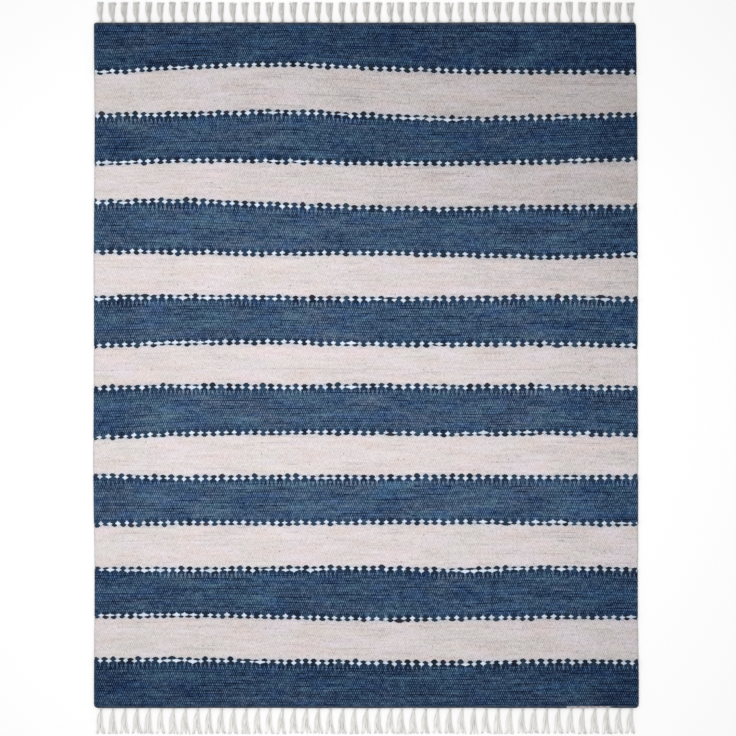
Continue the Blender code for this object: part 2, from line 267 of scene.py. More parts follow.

# Each lock: how far it falls short, how light it is painted (painted light and shade: lit at the left, shaded at the
# right), and how far it lies to the side of its root, in millimetres, at equal steps from the knot to the tip
LOCKS = {
    "head": (
        (0.0004, 1.06, (-0.9, -4.8, -7.6, -7.6, -7.8)),
        (0.0, 1.06, (-0.3, -3.0, -4.6, -4.4, -4.6)),
        (0.0, 0.98, (0.3, -1.2, -1.6, -1.2, -0.8)),
        (0.0002, 0.91, (0.9, 0.5, 1.6, 2.4, 4.2)),
    ),
    "foot": (
        (0.0, 1.02, (-0.6, -5.0, -7.6, -7.5, -10.2)),
        (0.0006, 1.04, (-0.2, -3.4, -4.8, -5.4, -7.8)),
        (0.0008, 0.96, (0.2, -1.5, -1.6, -0.3, 1.8)),
        (0.0, 0.97, (0.6, 0.8, 1.8, 4.3, 7.6)),
    ),
}

# The sheet's grid, and how far its edges lie inside the face's
UNDERSIDE_COLUMNS = 60
UNDERSIDE_ROWS = 6
UNDERSIDE_INSET = 0.0008

# Finishes
CLOTH_FINISH = {"Specular IOR Level": 0.06, "Sheen Weight": 0.04, "Sheen Roughness": 0.6}
ROUGHNESS = {"rag": 0.95, "tooth": 0.90, "cotton": 0.85}
BUMP = {"blue": 0.0006, "cream": 0.0005, "tooth": 0.0005, "heading": 0.0006, "cotton": 0.0003}

# What the weave's group puts out, and the noise behind it: how many warps long, how many picks deep, and its start
MASKS = "Tick Groove Strip Patch Tint Cast Streak Blotch Fleck Speck Height".split()
RAG_NOISE = {
    "strip": (50, 0.27, 0.0), "patch": (42, 6.0, 31.0), "tint": (36, 5.0, 77.0),
    "cast": (60, 8.0, 143.0), "short": (16, 0.19, 11.0), "long": (70, 0.23, 57.0),
    "blotch": (7, 1.4, 5.0), "fleck": (1.9, 0.8, 9.0), "speck": (2.6, 1.0, 211.0),
}
TICK_HEIGHT, FLECK_HEIGHT = 0.4, 0.6

# Each span below: the two values between which a look comes in and, unless it is from 0 to 1, how far
SHORT_STREAKS, LONG_STREAKS = (0.62, 0.72), (0.60, 0.70)
STREAK_GROOVE = (0.15, 0.8)
SPECKS = (0.885, 0.93)

# How far each mask moves the rags along their ramp, about its middle. The tick paints the rises lighter and the dips
# darker: partly wear on the rises, partly painted light and shade of the relief. The groove is painted shade between
# the picks, and the streaks, which lie only in the grooves, are partly darker rag, partly painted shade
BLUE_MIDDLE, CREAM_MIDDLE = 0.52, 0.52
BLUE_WEIGHTS = {"Tick": 0.85, "Strip": 0.54, "Patch": 0.42, "Blotch": 0.66, "Fleck": 0.95}
CREAM_WEIGHTS = {"Tick": 0.45, "Strip": 0.50, "Patch": 0.35, "Blotch": 0.35, "Fleck": 0.86}
BLUE_GROOVE, BLUE_STREAK, CREAM_STREAK = -0.14, -0.32, -0.26
CREAM_TEXTURE = (0.78, 1.05, 1.35, 0.85)  # the darker a cream stripe's shade, the stronger its texture
# The shade a point carries is its stripe's own, times the painted light falloff across the rug
SHADE_SHIFT = 0.60  # how far a stripe's shade moves the blue along its ramp
RAMP_SCALE, RAMP_START = 0.8, 0.2

# The blue near a colour change: its ribs (how many to a tooth, on which side of a colour change, how strong, over
# which picks), where the legs among them show, and how it darkens there and at the selvedge. The legs, two ribs to a
# tooth, are painted shadow where the floats dive under the warps
LEGS_PER_TOOTH = 2
BLUE_RIBS = (
    (1, "below", 0.22, (2.6, 1.2)),
    (1, "above", 0.24, (2.4, 1.1)),
    (LEGS_PER_TOOTH, "below", 0.26, (4.2, 1.8)),
)
LEGS_SHOW = (0.42, 0.62, 0.6, 1.7)
SEAM_DARK = (2.4, 1.1, 0.0, 0.10)
SIDE_DARK = (55, 25, 0.0, 0.07)

BLUE_RAMP = (
    (0.00, 0.001, 0.004, 0.016), (0.20, 0.003, 0.012, 0.038),
    (0.42, 0.015, 0.041, 0.086), (0.60, 0.037, 0.071, 0.127),
    (0.78, 0.067, 0.112, 0.180), (1.00, 0.130, 0.190, 0.275),
)
CREAM_RAMP = (
    (0.00, 0.375, 0.335, 0.345), (0.30, 0.480, 0.440, 0.440),
    (0.50, 0.545, 0.500, 0.500), (0.70, 0.590, 0.550, 0.545),
    (1.00, 0.650, 0.615, 0.610),
)

# The dye lots: the cast that each of three masks lays over the rags
PLUM_CAST = (1.22, 1.00, 0.95, 1.0)
BLUE_CASTS = {
    "Tint": (0.79, 0.91, 1.12, 1.0),  # navy
    "Cast": PLUM_CAST,
    "Patch": (0.86, 1.03, 0.96, 1.0),  # teal
}
CREAM_CASTS = {
    "Tint": (1.02, 0.975, 0.95, 1.0),  # rose
    "Cast": (0.975, 1.00, 0.985, 1.0),  # ash
    "Patch": (1.0, 0.98, 1.035, 1.0),  # lilac
}
BLUE_CAST_SPAN = (0.48, 0.70, 0.0, 0.8)
CREAM_CAST_SPAN = (0.45, 0.70)
COOL_CAST = (0.93, 0.985, 1.045, 1.0)  # the cream beside a colour change
DUSK_CAST = (0.955, 0.965, 0.97, 1.0)  # and below one it is a little darker too
SEAM_CAST_SPAN = (2.2, 1.0)
SPECK_CAST = (0.50, 0.46, 0.46, 1.0)

# The teeth: how fast the dye lot changes across and down, the grain's scale and detail, and where the head begins
LOT_RATES = (0.11, 0.37)
TOOTH_GRAIN = (420.0, 3.0)
TOOTH_BY_LOT, TOOTH_BY_GRAIN = 0.65, 0.35
TOOTH_HEAD_SPAN = (-0.30, 0.10)
BLUE_TOOTH_RAMP = (
    (0.30, 0.006, 0.016, 0.050), (0.45, 0.011, 0.026, 0.064),
    (0.55, 0.014, 0.036, 0.070), (0.70, 0.028, 0.050, 0.092),
)
TOOTH_HEAD_RAMP = (
    (0.32, 0.034, 0.022, 0.030), (0.44, 0.016, 0.022, 0.036),
    (0.54, 0.012, 0.028, 0.054), (0.68, 0.018, 0.034, 0.038),
)
CREAM_NECK_RAMP = (
    (0.30, 0.350, 0.375, 0.440), (0.50, 0.400, 0.430, 0.495),
    (0.70, 0.420, 0.440, 0.485),
)
CREAM_TOOTH_RAMP = (
    (0.30, 0.430, 0.500, 0.610), (0.45, 0.480, 0.560, 0.665),
    (0.60, 0.512, 0.583, 0.672), (0.70, 0.500, 0.536, 0.620),
)

# The heading: its grain's and dye lots' scale and detail, and its pale loops, across from the middle
HEADING_GRAIN, HEADING_LOTS = (190.0, 3.0), (34.0, 1.0)
HEADING_SHARES = (0.7, 0.07, 0.3)  # of the grain, of a fleck over every other warp and of the lot
HEADING_PLUM_SPAN = (0.50, 0.66)
HEADING_RAMP = (
    (0.30, 0.010, 0.015, 0.028), (0.50, 0.033, 0.048, 0.076),
    (0.72, 0.075, 0.098, 0.140),
)
PALE_LOOP = (0.37, 0.345, 0.370, 1.0)
PALE_LOOPS_FROM, PALE_LOOPS_TO = 0.450, 0.553
PALE_LOOPS_DEPTH = 0.006
PALE_LOOPS_GRAIN = (0.40, 0.54, 0.45, 1.0)
PALE_LOOPS_RIM = (0.0, 0.003)

# The cotton: its plies, how its noise differs from yarn to yarn and runs along one, and how light it is
PLIES = 2.0
YARNS_APART = 7.7
YARN_NOISE = 0.18
PLY_SHARE = 0.08
COTTON_RAMP = (
    (0.25, 0.500, 0.490, 0.475), (0.50, 0.580, 0.570, 0.555),
    (0.75, 0.650, 0.640, 0.625),
)
# Painted light and shade on the cotton: shade near the cloth and the knot that lifts towards the tip, and at the
# foot painted lighter all along
COTTON_PAINTED_LIGHT = {"head": (0.86, 1.10), "foot": (1.07, 1.38)}  # at the cloth, and at the tip
TASSEL_TONE = (0.96, 1.04)

# Stage
FLOOR_HALF = 6.0
FLOOR_DROP = 0.0002
FLOOR_FINISH = {"Base Color": (0.78, 0.78, 0.78, 1.0), "Roughness": 0.9, "Specular IOR Level": 0.1}
SKY = {"Color": (1.0, 1.0, 1.0, 1.0), "Strength": 0.90}
KEY_PLACE = (-0.15, -0.05, 2.2)
KEY_SIZE = 1.4
KEY_POWER = 26.0


def new_mesh():
    mesh = bmesh.new()
    mesh.verts.layers.float_vector.new("weave_place")
    mesh.verts.layers.float_vector.new("seam_reach")
    mesh.loops.layers.uv.new("OFBake")
    return mesh


def layers_of(mesh):
    """Where a mesh keeps its place in the weave, its distances from the colour changes, and its bake map."""
    vectors = mesh.verts.layers.float_vector
    return vectors["weave_place"], vectors["seam_reach"], mesh.loops.layers.uv["OFBake"]


def put_in_scene(name, data):
    made = bpy.data.objects.new(name, data)
    bpy.context.scene.collection.objects.link(made)
    return made


def finish_piece(name, mesh, materials, slot, *nodes):
    """Closes the edit and puts the piece in the scene, riding on the rug, in place of the part's nodes."""
    bmesh.ops.recalc_face_normals(mesh, faces=mesh.faces[:])
    for face in mesh.faces:
        face.smooth = True
    made = bpy.data.meshes.new(name)
    mesh.to_mesh(made)
    mesh.free()
    for material in materials:
        made.materials.append(material)
    piece = put_in_scene(name, made)
    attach(piece, "root")
    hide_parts(*nodes)
    return piece


def mix(first, second, share):
    return first + (second - first) * share


def inset(share, margin):
    """A share of the way across, drawn in to leave a margin at both sides."""
    return mix(margin, 1 - margin, share)


def ease(value, low, high):
    """value's place between low and high, smoothed, from 0 to 1."""
    place = min(max((value - low) / (high - low), 0.0), 1.0)
    return place * place * (3 - 2 * place)


def span_at(values, share):
    """After which of some evenly placed values a share of their length falls, and how far on towards the next."""
    place = min(max(share, 0.0), 1.0) * (len(values) - 1)
    span = min(int(place), len(values) - 2)
    return span, place - span


def smooth_through(values, share):
    """A smooth line through evenly placed values, at a share of its length."""
    span, t = span_at(values, share)
    before, start = values[max(span - 1, 0)], values[span]
    end, after = values[span + 1], values[min(span + 2, len(values) - 1)]
    return 0.5 * (
        2 * start
        + (end - before) * t
        + (2 * before - 5 * start + 4 * end - after) * t * t
        + (3 * start - before - 3 * end + after) * t * t * t
    )


def corner_inset(depth, radius):
    """How far a rounded corner of this radius draws in, at this distance from the end."""
    if depth >= radius:
        return 0.0
    return radius - math.sqrt(radius**2 - (radius - depth) ** 2)


# The depths of the weave's first line, every colour change and its last line, and how many picks each stripe has
LINES = [
    [HEADING_DEPTH + PART_GAP] * STATIONS,
    *([depth * MILLIMETRE for depth in seam] for seam in SEAMS),
    [WEAVE_LENGTH - HEADING_DEPTH - PART_GAP] * STATIONS,
]
PICKS = [
    round(sum(b - a for a, b in zip(above, below)) / STATIONS / PICK)
    for above, below in zip(LINES, LINES[1:])
]
FIRST_PICKS = [sum(PICKS[:index]) for index in range(len(PICKS))]
LAST_STRIPE = len(STRIPES) - 1


def side_insets(depth):
    """How far both edges draw in at this depth, smooth from stripe to stripe."""
    middles = [(LINES[i][0] + LINES[i + 1][0]) / 2 for i in range(len(STRIPES))]
    corner = max(corner_inset(depth, HEAD_CORNER), corner_inset(WEAVE_LENGTH - depth, FOOT_CORNER))
    index = sum(depth > middle for middle in middles)
    first, second = max(index - 1, 0), min(index, LAST_STRIPE)
    above, below = STRIPES[first], STRIPES[second]
    start, end = middles[first], middles[second]
    share = ease(depth, start, end) if end > start else 0.0
    return [corner + MILLIMETRE * mix(above[side], below[side], share) for side in (0, 1)]


def warp_x(warp, depth):
    """Where a warp, counted from the left edge, runs at this depth. warp may be a fraction."""
    left, right = side_insets(depth)
    share = warp / WARPS
    inside = min(1.0, WANDER_GROWTH * share, WANDER_GROWTH * (1.0 - share))
    place = Vector((share * WANDER_ACROSS, depth * WANDER_ALONG, WANDER_START))
    wander = WARP_WANDER * inside * noise.noise(place)
    return mix(left - HALF_WIDTH, HALF_WIDTH - right, share) + wander


def weave_point(warp, line, offset=0.0):
    """The place of a warp on a line across the cloth, offset metres further from the head."""
    depth = smooth_through(line, warp / WARPS) + offset
    return warp_x(warp, depth), HEAD_EDGE - depth


def stripe_line(index, pick):
    """The line across the cloth at this pick of a stripe."""
    share = pick / PICKS[index]
    return [mix(a, b, share) for a, b in zip(LINES[index], LINES[index + 1])]


def tooth_drift(share, depth):
    """How many warps the teeth stray to the right of even spacing here."""
    row, between = span_at(TOOTH_DRIFT, depth / WEAVE_LENGTH)
    above, below = (smooth_through(TOOTH_DRIFT[near], share) for near in (row, row + 1))
    return mix(above, below, between) * MILLIMETRE * WARPS / RUG_WIDTH


def painted_light_falloff(share, depth):
    """How much lighter or darker the rags are painted here, as painted light and shade: darker towards the right,
    most of all near the head.
    """
    along = ease(depth / WEAVE_LENGTH, *PAINTED_FALLOFFS_MEET)
    left, right = (mix(*pair, along) for pair in zip(HEAD_PAINTED_FALLOFF, FOOT_PAINTED_FALLOFF))
    return mix(left, right, min(max(share, 0.0), 1.0) ** mix(*PAINTED_FALLOFF_BENDS, along))


def face_height(colour, warp, pick):
    """How high the face of the plain weave stands: each pick rises over every other warp."""
    rise, dip, stray = RELIEF[colour]
    tick = math.cos(math.pi * warp) * math.cos(math.pi * pick)
    groove = 1.0 - abs(math.cos(math.pi * pick))
    strip = noise.noise(Vector((warp * STRIP_ALONG, round(pick) * STRIP_APART, 0.0)))
    return CLOTH_MIDDLE + rise * tick - dip * groove + stray * strip


def lay_out_stripe(mesh):
    """The bake's map: the stripe cut across into lengths, stacked."""
    _, _, bake_layer = layers_of(mesh)
    length = 2.0 / BAKE_STRIPS
    height = 1.0 / BAKE_STRIPS
    for face in mesh.faces:
        strip = min(int((face.calc_center_median().x + 1) / length), BAKE_STRIPS - 1)
        for loop in face.loops:
            u = inset((loop.vert.co.x + 1) / length - strip, BAKE_MARGIN)
            v = inset((loop.vert.co.y + 1) / 2, BAKE_MARGIN)
            loop[bake_layer].uv = (u, (strip + v) * height)


def build_stripe(index, material):
    """One stripe of the face: a skin whose top is the weave, closed below inside the cloth."""
    _, _, shade = STRIPES[index]
    colour = COLOURS[index % 2]
    rows = PICKS[index] * ROWS_PER_PICK
    around = rows + 3
    mesh = new_mesh()
    place_layer, reach_layer, _ = layers_of(mesh)
    bmesh.ops.create_grid(mesh, x_segments=WARPS, y_segments=around, size=1.0)
    lay_out_stripe(mesh)
    lines = [stripe_line(index, row / ROWS_PER_PICK) for row in range(rows + 1)]
    for vert in mesh.verts:
        warp = round((vert.co.x + 1) / 2 * WARPS)
        turn = round((1 - vert.co.y) / 2 * around) % around
        row = min(turn, rows) if turn < rows + 2 else 0
        x, y = weave_point(warp, lines[row])
        pick = row / ROWS_PER_PICK
        inward = min(warp, WARPS - warp)
        if turn > rows:
            z = STRIPE_BOTTOM
        else:
            z = face_height(colour, warp, FIRST_PICKS[index] + pick)
            z = min(z, SELVEDGE.get(inward, z))
            if inward in SELVEDGE:
                side = 1 if warp > WARPS / 2 else -1
                x += side * BEAD * math.cos(math.tau * pick)
        vert.co = (x, y, z)
        # The stripe's shade, times the painted light falloff across the rug
        tone = shade * painted_light_falloff(warp / WARPS, HEAD_EDGE - y)
        drift = tooth_drift(warp / WARPS, HEAD_EDGE - y)
        vert[place_layer] = (warp, FIRST_PICKS[index] + pick, tone)
        vert[reach_layer] = (
            pick if index > 0 else FAR,
            PICKS[index] - pick if index < LAST_STRIPE else FAR,
            warp - drift,
        )
    close_skins(mesh)
    name = f"stripe_{index + 1:02d}_{colour}"
    return finish_piece(name, mesh, [material], "rag_weave_" + colour, "woven_field")


def add_skin(mesh, around, along, place, cell, cells_across):
    """Rolls a grid into a tube of points place(turn, step). Its bake map fills one cell of a square of cells."""
    _, _, bake_layer = layers_of(mesh)
    made = bmesh.ops.create_grid(mesh, x_segments=along, y_segments=around, size=1.0)
    row, column = divmod(cell, cells_across)
    for face in {face for vert in made["verts"] for face in vert.link_faces}:
        for loop in face.loops:
            u, v = (inset((value + 1) / 2, CELL_MARGIN) for value in loop.vert.co.xy)
            loop[bake_layer].uv = ((column + u) / cells_across, (row + v) / cells_across)
    for vert in made["verts"]:
        step = round((vert.co.x + 1) / 2 * along)
        turn = round((1 - vert.co.y) / 2 * around)
        vert.co = place(turn % around, step)
    return made["verts"]


def close_skins(mesh):
    bmesh.ops.remove_doubles(mesh, verts=mesh.verts[:], dist=SAME_PLACE)
    bmesh.ops.holes_fill(mesh, edges=[e for e in mesh.edges if e.is_boundary], sides=0)


def runs_together(seam, share):
    return any(seam == place and low < share < high for place, low, high in JOINED)


def build_teeth(colour, material):
    """The long rag floats of one colour at every colour change."""
    chance = random.Random(TOOTH_SEEDS[colour])
    mesh = new_mesh()
    place_layer, reach_layer, _ = layers_of(mesh)
    first = (WARPS_PER_TOOTH / 2 if colour == "blue" else 0.0) - WARPS_PER_TOOTH
    count = int((WARPS - first) / WARPS_PER_TOOTH) + 2
    cells = math.ceil(math.sqrt(count * len(SEAMS)))
    table = TEETH[colour]
    for seam in range(1, len(STRIPES)):
        away = 1 if COLOURS[(seam - 1) % 2] == colour else -1
        line = LINES[seam]
        _, _, shade = STRIPES[seam - 1 if away > 0 else seam]
        shade = shade ** SHADE_SHARE[colour]
        for tooth in range(count):
            evenly = first + tooth * WARPS_PER_TOOTH
            share = evenly / WARPS
            seam_depth = smooth_through(line, share)
            centre = evenly + tooth_drift(share, seam_depth)
            centre += chance.uniform(-1, 1) * TOOTH_JITTER * WARPS_PER_TOOTH
            size = chance.uniform(*TOOTH_SIZE[colour])
            slide = chance.uniform(-1, 1) * TOOTH_SLIDE
            lift = chance.uniform(*TOOTH_LIFT)
            # The stripe's shade, times the painted light falloff across the rug, then the tooth's own dye lot
            tone = shade * painted_light_falloff(share, seam_depth)
            tone *= chance.uniform(*TOOTH_TONE[colour])
            stretch = chance.uniform(*TOOTH_REACH)
            lean = chance.uniform(-1, 1) * TOOTH_LEAN * WARPS_PER_TOOTH
            meets = JOINED_SHARE if colour == "cream" and runs_together(seam, share) else 0.0
            spread = SPREAD_HEAD if chance.random() < max(meets, SPREAD_SHARE[colour]) else 1.0
            if not -EDGE_TOOTH < centre < WARPS + EDGE_TOOTH:
                continue

            def place(turn, step):
                start, half, crown = table[step]
                side, rise = TOOTH_SIDES[turn]
                beyond = start > 0
                at = start * SEAM_STRETCH[seam % 2] * (stretch if beyond else 1.0)
                half = half * size * (spread if beyond else 1.0)
                warp = centre + side * half * WARPS_PER_TOOTH + lean * at
                least = EDGE_GAP + EDGE_STEP * (1 + side)
                most = WARPS - EDGE_GAP - EDGE_STEP * (1 - side)
                warp = min(max(warp, least), most)
                x, y = weave_point(warp, line, away * (at + slide) * PICK)
                height = crown * lift * max(rise, 0.0) + min(rise, 0.0)
                if spread > 1 and beyond and crown > 0 and rise >= 0:
                    height = max(height, SPREAD_RIM)
                return x, y, TOOTH_FOOT + TOOTH_CROWN * (height + min(crown, 0.0))

            cell = (seam - 1) * count + tooth
            around, along = len(TOOTH_SIDES), len(table) - 1
            for vert in add_skin(mesh, around, along, place, cell, cells):
                depth = HEAD_EDGE - vert.co.y - smooth_through(line, centre / WARPS)
                vert[place_layer] = (centre, FIRST_PICKS[seam], tone)
                vert[reach_layer] = (away * depth / PICK - slide, 0.0, 0.0)
    close_skins(mesh)
    name = "zipper_floats_" + colour
    return finish_piece(name, mesh, [material], "rag_weave_" + colour, "woven_field")


def edge_wave(x, end):
    """How far the outer edge of the heading strays, out from its mean place."""
    return sum(size * math.sin(turn * x + start) for size, turn, start in EDGE_WAVES[end])


def build_heading(end, material):
    """The last, darker picks of one end, twined over the warps."""
    mesh = new_mesh()
    place_layer, _, bake_layer = layers_of(mesh)

    def place(turn, step):
        out, height, tick = HEADING_SECTION[turn]
        depth = -out if end == "head" else WEAVE_LENGTH + out
        x = warp_x(step, min(max(depth, HEADING_INSIDE), WEAVE_LENGTH - HEADING_INSIDE))
        stray = edge_wave(x, end) if out > -HEADING_DEPTH else 0.0
        height = min(height, SELVEDGE.get(min(step, WARPS - step), height))
        rise = HEADING_RISE * tick * math.cos(math.pi * step)
        y = HEAD_EDGE + out + stray if end == "head" else FOOT_EDGE - out - stray
        return x, y, height + rise

    for vert in add_skin(mesh, len(HEADING_SECTION), WARPS, place, 0, 1):
        warp = (vert.co.x + HALF_WIDTH) / RUG_WIDTH * WARPS
        vert[place_layer] = (warp, (vert.co.y - FOOT_EDGE) / PICK, 1.0)
    for face in mesh.faces:
        us = [loop[bake_layer].uv.x for loop in face.loops]
        strip = min(int(sum(us) / len(us) * HEADING_STRIPS), HEADING_STRIPS - 1)
        for loop in face.loops:
            u, v = loop[bake_layer].uv
            loop[bake_layer].uv = (u * HEADING_STRIPS - strip, (strip + v) / HEADING_STRIPS)
    close_skins(mesh)
    return finish_piece("heading_" + end, mesh, [material], "rag_weave_blue", "fringe_" + end)


def add_strand(mesh, path, radii, strand, strands, tones):
    """One cotton yarn along a path: a round skin, with a map of its turn and length, and its tones to the tip, which
    hold painted light and shade.
    """
    along = len(path) - 1
    frames = []
    for step, point in enumerate(path):
        ahead = path[min(step + 1, along)] - path[max(step - 1, 0)]
        side = ahead.cross(Vector((0, 0, 1))).normalized()
        frames.append((point, side, side.cross(ahead).normalized()))

    def place(turn, step):
        point, side, up = frames[step]
        angle = math.tau * turn / YARN_SIDES
        reach = side * math.cos(angle) + up * math.sin(angle)
        return point + reach * radii[step]

    cells = math.ceil(math.sqrt(strands))
    verts = add_skin(mesh, YARN_SIDES, along, place, strand, cells)
    place_layer, _, bake_layer = layers_of(mesh)
    yarn_layer = mesh.loops.layers.uv["yarn_map"]
    length = sum((b - a).length for a, b in zip(path, path[1:]))
    row, column = divmod(strand, cells)
    for face in {face for vert in verts for face in vert.link_faces}:
        for loop in face.loops:
            u, v = loop[bake_layer].uv
            loop[yarn_layer].uv = (v * cells - row, (u * cells - column) * length / YARN_LAY)
    for vert in verts:
        share = (vert.co - path[0]).length / (path[-1] - path[0]).length
        vert[place_layer] = (strand, 0.0, mix(*tones, min(share, 1.0)))


def tassel_roots(chance):
    """The middle of each tassel's root, nearly evenly spaced but for one that stands closer."""
    roots = []
    for index in range(TASSELS_PER_END):
        outermost = index in (0, TASSELS_PER_END - 1)
        drift = 0.0 if outermost else chance.uniform(-TASSEL_DRIFT, TASSEL_DRIFT)
        closer = CLOSER_BY if index >= CLOSER_TASSEL else 0.0
        roots.append(FIRST_TASSEL + index * TASSEL_PITCH - closer + drift)
    return roots


def beyond_edge(end, out, x, z):
    """A point this far out from the weave's edge at one end."""
    return Vector((x, HEAD_EDGE + out if end == "head" else FOOT_EDGE - out, z))


def lock_paths(end, root, splay, trim, number, loose):
    """The paths of one lock's yarns, from the cloth through the knot to their tips."""
    short, _, sides = LOCKS[end][number]
    reach = HEAD_REACH if end == "head" else FOOT_REACH
    yarns = YARNS_PER_LOCK * len(LOCKS[end])
    knot_out = KNOT_OUT[end]
    crossed = -1 if end == "head" else 1
    turn_at = loose.uniform(0, math.tau)
    sway = loose.uniform(-1, 1) * LOCK_SWAY
    turns = loose.choice((-1, 1)) * loose.uniform(*LOCK_TURNS)
    paths = []
    for member in range(YARNS_PER_LOCK):
        yarn = number * YARNS_PER_LOCK + member
        lane = (yarn / (yarns - 1)) * 2 - 1
        leg = root + crossed * math.copysign(mix(*LEG_PLACE[end], abs(lane)), lane)
        neck = root + lane * KNOT_HALF[end]
        start_turn = turn_at + math.tau * member / YARNS_PER_LOCK
        fray = loose.uniform(-1, 1) * FRAY
        length = reach - trim - short - loose.uniform(*YARN_TRIM) - knot_out
        path = [
            beyond_edge(end, LEG_START, leg, LEG_HEIGHT),
            beyond_edge(end, LEG_END, leg, LEG_HEIGHT),
            beyond_edge(end, knot_out, neck, KNOT_HEIGHT + KNOT_LAYER * (yarn % 2)),
        ]
        for step in range(1, YARN_STEPS + 1):
            share = step / YARN_STEPS
            angle = start_turn + math.tau * turns * share
            side = smooth_through(sides, share) * splay * MILLIMETRE
            side += sway * share + fray * max(0.0, share - FRAY_FROM) / FRAY_OVER
            side += LOCK_RADIUS * math.cos(angle) * min(1.0, share * LOCK_OPENS)
            low = YARN_RADIUS * mix(1.0, TIP_THIN, share) + YARN_CLEAR
            height = low + LOCK_RADIUS * (1 + math.sin(angle)) * mix(1.0, TIP_FLAT, share)
            path.append(beyond_edge(end, knot_out + length * share, root + side, height))
        paths.append(path)
    return paths


def wrap_path(end, root):
    """The path of the yarn wound round a tassel's knot."""
    radius = KNOT_HALF[end] + YARN_RADIUS * NECK_THIN[end]
    path = []
    for step in range(WRAP_STEPS + 1):
        angle = math.tau * WRAP_TURNS * step / WRAP_STEPS
        out = KNOT_OUT[end] + WRAP_LENGTH * (step / WRAP_STEPS - 0.5)
        height = WRAP_MIDDLE + WRAP_RISE * math.sin(angle)
        path.append(beyond_edge(end, out, root + radius * math.cos(angle), height))
    return path


def build_tassels(end, material):
    """The warp ends of one end: two legs, which cross at the head, are wrapped together, then open into slack
    twisted locks.
    """
    chance = random.Random(TASSEL_SEEDS[end])
    roots = tassel_roots(chance)
    loose = random.Random(TASSEL_SEEDS[end] + LOOSE_SEED)
    mesh = new_mesh()
    mesh.loops.layers.uv.new("yarn_map")
    along = YARN_STEPS + 2
    neck_radius = YARN_RADIUS * NECK_THIN[end]
    radii = [YARN_RADIUS * mix(1.0, TIP_THIN, (step / along) ** 2) for step in range(along + 1)]
    radii[:3] = [neck_radius] * 3
    strands = []
    for index, root in enumerate(roots):
        splay = chance.uniform(*SPLAY)
        trim = 0.0 if index == LONGEST_TASSEL else chance.uniform(*TRIM)
        tint = loose.uniform(*TASSEL_TONE)
        for number, (_, light, _) in enumerate(LOCKS[end]):
            # The cotton's and the lock's painted light and shade, and the tassel's own tint, which differs at random
            tones = [tone * light * tint for tone in COTTON_PAINTED_LIGHT[end]]
            for path in lock_paths(end, root, splay, trim, number, loose):
                strands.append((path, radii, tones))
        wrap = wrap_path(end, root)
        # The wrap takes the painted shade at the knot
        strands.append((wrap, [WRAP_RADIUS] * len(wrap), [COTTON_PAINTED_LIGHT[end][0] * tint] * 2))
    for strand, (path, widths, tones) in enumerate(strands):
        add_strand(mesh, path, widths, strand, len(strands), tones)
    close_skins(mesh)
    return finish_piece("tassels_" + end, mesh, [material], "cotton_warp", "fringe_" + end)


def build_underside(materials):
    """The cloth as one flat sheet, under its face: it rests on the floor and shows the same stripes below."""
    mesh = new_mesh()
    place_layer, reach_layer, bake_layer = layers_of(mesh)
    rows = []
    for index in range(len(STRIPES)):
        for row in range(UNDERSIDE_ROWS):
            rows.append((index, PICKS[index] * row / UNDERSIDE_ROWS))
    rows.append((LAST_STRIPE, PICKS[LAST_STRIPE]))
    along = len(rows) - 1
    around = 2 * UNDERSIDE_COLUMNS + 2
    bmesh.ops.create_grid(mesh, x_segments=around, y_segments=along, size=1.0)
    for face in mesh.faces:
        middle = face.calc_center_median()
        row = along - 1 - int((middle.y + 1) / 2 * along)
        face.material_index = rows[row][0] % 2
        for loop in face.loops:
            loop[bake_layer].uv = [inset((value + 1) / 2, BAKE_MARGIN) for value in loop.vert.co.xy]
    for vert in mesh.verts:
        column = round((vert.co.x + 1) / 2 * around) % around
        index, pick = rows[along - round((vert.co.y + 1) / 2 * along)]
        below = column > UNDERSIDE_COLUMNS
        step = around - 1 - column if below else column
        share = min(max(step / UNDERSIDE_COLUMNS, 0.0), 1.0)
        x, y = weave_point(share * WARPS, stripe_line(index, pick))
        x += UNDERSIDE_INSET * (1 - 2 * share)
        vert.co = (x, y, 0.0 if below else UNDERSIDE_TOP)
        vert[place_layer] = (share * WARPS, FIRST_PICKS[index] + pick, 1.0)
        vert[reach_layer] = (FAR, FAR, 0.0)
    close_skins(mesh)
    return finish_piece("cloth_underside", mesh, materials, "rag_weave_blue", "woven_field")


# Materials


def feed(tree, value, socket):
    if isinstance(value, bpy.types.NodeSocket):
        tree.links.new(value, socket)
    else:
        socket.default_value = value


def set_inputs(tree, node, inputs):
    for name, value in inputs.items():
        feed(tree, value, node.inputs[name])


def add_node(tree, kind, inputs=None, **settings):
    made = tree.nodes.new(kind)
    for key, value in settings.items():
        setattr(made, key, value)
    set_inputs(tree, made, inputs or {})
    return made


def calc(tree, operation, *values):
    made = tree.nodes.new("ShaderNodeMath")
    made.operation = operation
    for value, socket in zip(values, made.inputs):
        feed(tree, value, socket)
    return made.outputs[0]


def add_up(tree, value, *pairs):
    """value, and for each (mask, amount) pair that much of the mask."""
    for mask, amount in pairs:
        value = calc(tree, "MULTIPLY_ADD", mask, amount, value)
    return value


def wave(tree, value, rate, operation="COSINE"):
    return calc(tree, operation, calc(tree, "MULTIPLY", value, rate))


def split_vector(tree, vector):
    made = add_node(tree, "ShaderNodeSeparateXYZ", {"Vector": vector})
    return [made.outputs[axis] for axis in "XYZ"]


def read_attribute(tree, name):
    return add_node(tree, "ShaderNodeAttribute", attribute_name=name).outputs["Vector"]


def read_split(tree, name):
    return split_vector(tree, read_attribute(tree, name))


def ramp_between(tree, value, low, high, start=0.0, end=1.0):
    """value's place between low and high, smoothed, from start to end."""
    inputs = {"Value": value, "From Min": low, "From Max": high, "To Min": start, "To Max": end}
    made = add_node(tree, "ShaderNodeMapRange", inputs, interpolation_type="SMOOTHSTEP")
    return made.outputs["Result"]


